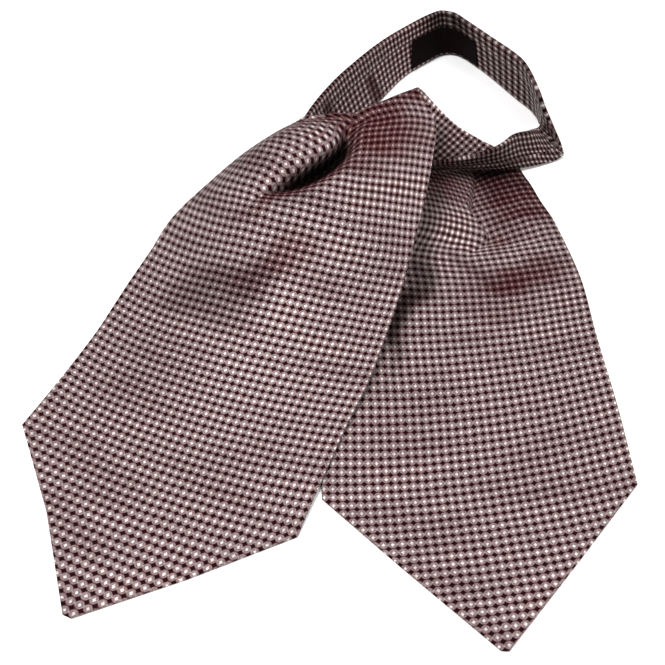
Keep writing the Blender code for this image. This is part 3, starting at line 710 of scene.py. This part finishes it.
def patch_sheen_and_shade(grid, patches, tilt):
    """Painted shade on the silk: how far it turns to wine, by patches and where it tilts to the back
    (below 0 whiter dots, a painted highlight), and how far painted shade darkens it.
    """
    plain = np.ones(grid.shape[:2])
    lit = np.ones(grid.shape[:2])
    # patch outlines wander a little
    u = grid[..., 0] + 4.0 * np.sin(grid[..., 1] / 9.0 + 1.0) + 2.0 * np.sin(grid[..., 0] / 5.0)
    v = grid[..., 1] + 4.0 * np.sin(grid[..., 0] / 11.0)
    v = v + 2.0 * np.sin(grid[..., 1] / 4.0 + grid[..., 0] / 7.0)
    for x, y, rx, ry, turn, wine, shade in patches:
        c, s = math.cos(math.radians(turn)), math.sin(math.radians(turn))
        dx, dy = u - x, v - y
        far = np.hypot((dx * c + dy * s) / rx, (dy * c - dx * s) / ry)
        inside = 1 - step((far - 0.3) / 1.0)
        plain = plain * (1 - max(wine, 0) * inside) - min(wine, 0) * inside
        lit = lit * (1 - shade * inside)
    # painted shade by slope: the silk turns to wine where it faces the back
    back = normals(grid)[..., 1]
    plain = plain * (1 - tilt * step(back / 0.45))
    return 1 - plain, 1 - lit


silk = weave_material("woven_silk")

# Left blade with its folded margin
q_left = blade_places(LEFT_END)
tuck_columns = np.linspace(-TUCK_SHARE, 0, 9)[:-1]
groove_columns = GROOVE_COLUMN + np.linspace(-0.06, 0.05, 30)
c_left = np.unique(np.concatenate([tuck_columns, edge_columns(BLADE_COLUMNS, BLADE_RIM), groove_columns]))
far_row = int(np.searchsorted(q_left, FOLD_TOP))
left = left_blade(q_left, c_left)
smooth = left_blade(q_left, c_left, 0.0)
left_uv = cloth_map(smooth, q_left, LEFT_ROWS)
# left of the lip the weave runs on over the roll by the cloth's own length
lip = int(np.searchsorted(c_left, ROLL_LIP_COLUMN))
rolled = arcs(left, 1)
left_uv[:, :lip, 0] = left_uv[:, lip:lip + 1, 0] + rolled[:, :lip] - rolled[:, lip:lip + 1]
# painted shade in the groove: the cloth darkens the further it lies below its unpleated surface
fall = smooth[..., 2] - left[..., 2]
painted_shade = step((fall - SHADE_FROM) / SHADE_OVER)
# the ply behind the fold has a map of its own, across and down from the fold's right end
apex = left[far_row, -1]
foot = left[-1, -1]
down = (foot - apex) / np.linalg.norm(foot - apex)
aside = np.array([-down[2], 0.0, down[0]])
aside = aside / np.linalg.norm(aside)
offset = left - apex
left_far = np.stack([offset @ aside, offset @ down], 2) * FAR_SQUEEZE
gather_column = int(np.searchsorted(c_left, GATHER_COLUMN))
left_uv = gathered(drifted(left_uv, LEFT_DRIFT), gather_column, q_left, 1, *LEFT_GATHER)
# painted shade and wine from the patches; the ply behind the fold gets painted light and whiter dots
wine, dark = patch_sheen_and_shade(left, LEFT_PATCHES, 0.9)
wine = np.where((q_left > FOLD_TOP)[:, None], FAR_TONE, wine)
painted_shade = np.where((q_left > FOLD_TOP)[:, None], FAR_SHINE, np.maximum(painted_shade, dark))
left_half = round_edge(left, BLADE_WALL / 2, BLADE_WALL / 2)
left_piece = shell("left_blade_cloth", left, left_half, left_uv, silk, wine, painted_shade, left_far, far_row)
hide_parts("left_blade")

# Right blade
q_right = blade_places(RIGHT_END)
c_right = edge_columns(BLADE_COLUMNS, BLADE_RIM)
right = right_blade(q_right, c_right)
right_uv = drifted(cloth_map(right, q_right, RIGHT_ROWS), RIGHT_DRIFT)
fold_column = int(np.searchsorted(c_right, PLEAT_COLUMN))
right_uv = gathered(right_uv, fold_column, q_right, -1, *RIGHT_GATHER)
# painted shade and wine from the patches, the shadows cast on this blade among them
wine, dark = patch_sheen_and_shade(right, RIGHT_PATCHES, 0.5)
right_half = round_edge(right, BLADE_WALL / 2, BLADE_WALL / 2)
right_piece = shell("right_blade_cloth", right, right_half, right_uv, silk, wine, dark)
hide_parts("right_blade")


def band_grid(table, s, c, side):
    """Middle surface of a neckband stretch, with the ply along its far edge lifted."""
    grid = band(table, s, c)
    lift = PLY_LIFT * step((np.asarray(c) - PLY_EDGE + PLY_STEP / 2) / PLY_STEP)
    return grid + side * normals(grid) * lift[None, :, None]


def band_map(grid):
    """Cloth millimetres of a neckband stretch: across it, and along it from its first row."""
    return np.stack([arcs(grid, 1), arcs(grid, 0)], 2)


def near_corner(uv):
    """1 at the rear corner, falling to 0 a little past the stretch that lies in shade."""
    return 1 - step(uv[..., 1] / CORNER_SHADE - 0.3)


ply_columns = PLY_EDGE + np.array([-0.5, -0.25, 0, 0.25, 0.5]) * PLY_STEP
c_band = np.unique(np.concatenate([edge_columns(30, 0.04), ply_columns]))
band_left = band_grid(BAND_LEFT_ROWS, np.linspace(0, len(BAND_LEFT_ROWS) - 1, 150), c_band, 1)
band_right = band_grid(BAND_RIGHT_ROWS, np.linspace(0, len(BAND_RIGHT_ROWS) - 1, 150), c_band, -1)
band_front = band_grid(BAND_FRONT_ROWS, np.linspace(0, len(BAND_FRONT_ROWS) - 1, 120), c_band, -1)
FRONT_SQUEEZE = (0.87, 1.5)    # how much closer the weave looks across and along the front
FRONT_SLANT = 0.2
RIGHT_SQUEEZE = 0.7     # along the right stretch
PLY_SQUEEZE = 1.25      # along the left stretch's ply
CORNER_SHADE = 26.0     # millimetres from the rear corner that lie in shade
LEFT_BAND_TONE = -0.55  # less than 0 for whiter dots
RIGHT_BAND_TONE = -0.4
FRONT_BAND_TONE = -0.5
FRONT_BAND_SHADE = 0.52
PLEAT_SHADE = 0.45      # in the small cross pleats
PLY_SHADE = 0.30        # along the ply's edge
# Small cross pleats on the left stretch, drawn only as painted shade with no fold in the mesh:
# distance from the rear corner, width, top (share of the band's height) and lean toward the
# corner, in millimetres
CROSS_PLEATS = [(75, 14, 0.66, -4), (125, 18, 0.95, 0), (136, 4, 1.2, 0)]


def cross_pleats(uv, c):
    """How far each place lies inside a cross pleat of the left stretch: its share of painted shade."""
    inside = np.zeros(uv.shape[:2])
    for along, width, top, lean in CROSS_PLEATS:
        rise = np.clip(np.asarray(c)[None, :] / top, 0, 1)
        middle = along - lean * rise
        half = width / 2 * (1 - 0.5 * rise)
        far = np.abs(uv[..., 1] - middle) / half
        inside = np.maximum(inside, (1 - step(far - 0.4)) * (1 - step((rise - 0.8) / 0.2)))
    return inside


left_map = band_map(band_left)
painted_pleat_shade = cross_pleats(left_map, c_band)
on_ply = (c_band > PLY_EDGE)[None, :]
# painted shade on the neckband: wine and darker cloth in the cross pleats, near the rear corner and along
# the ply's edge; whiter dots elsewhere
left_tone = np.where(painted_pleat_shade > 0.1, painted_pleat_shade, LEFT_BAND_TONE)
left_shade = np.maximum(0.20 + 0.60 * near_corner(left_map), PLEAT_SHADE * painted_pleat_shade)
at_ply = np.exp(-((c_band - PLY_EDGE) / 0.03) ** 2)[None, :]
left_shade = left_shade + PLY_SHADE * at_ply * (1 - left_shade)
left_map = np.where(on_ply[..., None], left_map * (1.0, PLY_SQUEEZE), left_map)
right_map = band_map(band_right)
right_shade = 0.48 + 0.28 * near_corner(right_map)
right_map = right_map * (1.0, RIGHT_SQUEEZE)
front_map = band_map(band_front)
slanted = front_map[..., 0] + FRONT_SLANT * front_map[..., 1]
front_map = np.stack([slanted, front_map[..., 1]], 2) * FRONT_SQUEEZE
right_tone = np.full(band_right.shape[:2], RIGHT_BAND_TONE)
front_shade = np.full(band_front.shape[:2], FRONT_BAND_SHADE)
front_tone = np.full(band_front.shape[:2], FRONT_BAND_TONE)
stretches = [
    ("neckband_left", band_left, left_map, left_tone, left_shade),
    ("neckband_right", band_right, right_map, right_tone, right_shade),
    ("neckband_front", band_front, front_map, front_tone, front_shade),
]
for name, grid, uv, tone_and_painted_sheen, shade in stretches:
    half = round_edge(grid, BAND_WALL / 2, BAND_WALL / 2)
    piece = shell(name + "_cloth", grid, half, uv, silk, tone_and_painted_sheen, shade)
    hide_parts(name)

label_columns = edge_columns(16, 0.02)
label_columns = LABEL_LOW + (LABEL_HIGH - LABEL_LOW) * label_columns
label_left = band(BAND_LEFT_ROWS, np.linspace(LABEL_START, 0, 40), label_columns)
label_right = band(BAND_RIGHT_ROWS, np.linspace(0, LABEL_END, 36)[1:], label_columns)
label = np.concatenate([label_left, label_right])
label = label - normals(label) * (BAND_WALL / 2 + SEAM_GAP + LABEL_WALL / 2)
label_half = round_edge(label, LABEL_WALL / 2, LABEL_WALL / 2)
label_piece = shell("label_cloth", label, label_half, band_map(label), label_material())
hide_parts("label")


def floor_material():
    material = bpy.data.materials.new("pale_table")
    material.use_nodes = True
    shader = material.node_tree.nodes["Principled BSDF"]
    shader.inputs["Base Color"].default_value = (0.93, 0.93, 0.93, 1)
    shader.inputs["Roughness"].default_value = 0.8
    return material


FLOOR_HALF = 3.0        # metres
mesh = bpy.data.meshes.new("table")
floor_corners = [(x * FLOOR_HALF, y * FLOOR_HALF, 0) for x, y in ((-1, -1), (1, -1), (1, 1), (-1, 1))]
mesh.from_pydata(floor_corners, [], [(0, 1, 2, 3)])
table_top = bpy.data.objects.new("table", mesh)
table_top.location.z = -0.0002
mesh.materials.append(floor_material())
bpy.context.scene.collection.objects.link(table_top)


def area_light(name, place, aim, size, power, colour=(1, 1, 1)):
    light = bpy.data.lights.new(name, "AREA")
    light.shape = "DISK"
    light.size = size
    light.energy = power
    light.color = colour
    lamp = bpy.data.objects.new(name, light)
    lamp.location = place
    direction = np.array(aim) - np.array(place)
    flat = math.hypot(direction[0], direction[1])
    lamp.rotation_euler = (math.atan2(flat, -direction[2]), 0, math.atan2(-direction[0], direction[1]))
    bpy.context.scene.collection.objects.link(lamp)


area_light("key", (-0.35, -0.30, 1.15), (0, 0, 0), 0.5, 17)
area_light("fill", (0.7, -0.1, 1.0), (0, 0, 0), 1.0, 7)

world = bpy.data.worlds.new("studio")
world.use_nodes = True
world.node_tree.nodes["Background"].inputs["Color"].default_value = (1, 1, 1, 1)
world.node_tree.nodes["Background"].inputs["Strength"].default_value = 0.52
bpy.context.scene.world = world
bpy.context.scene.view_settings.view_transform = "Standard"

CAMERA_PLACE = np.array([0.0, -305.9, 394.4])   # millimetres, from the tables' origin
CAMERA_TILT = math.radians(37.8)    # from straight down
SENSOR = 36.0
FOCAL_PIXELS = 930.0    # focal length, where the photo is PHOTO_PIXELS wide
PHOTO_PIXELS = 665.0
camera_data = bpy.data.cameras.new("camera")
camera_data.sensor_width = SENSOR
camera_data.lens = SENSOR * FOCAL_PIXELS / PHOTO_PIXELS
camera = bpy.data.objects.new("camera", camera_data)
camera.location = (CAMERA_PLACE - SHIFT) * MILLIMETRE
camera.rotation_euler = (CAMERA_TILT, 0, 0)
bpy.context.scene.collection.objects.link(camera)
bpy.context.scene.camera = camera
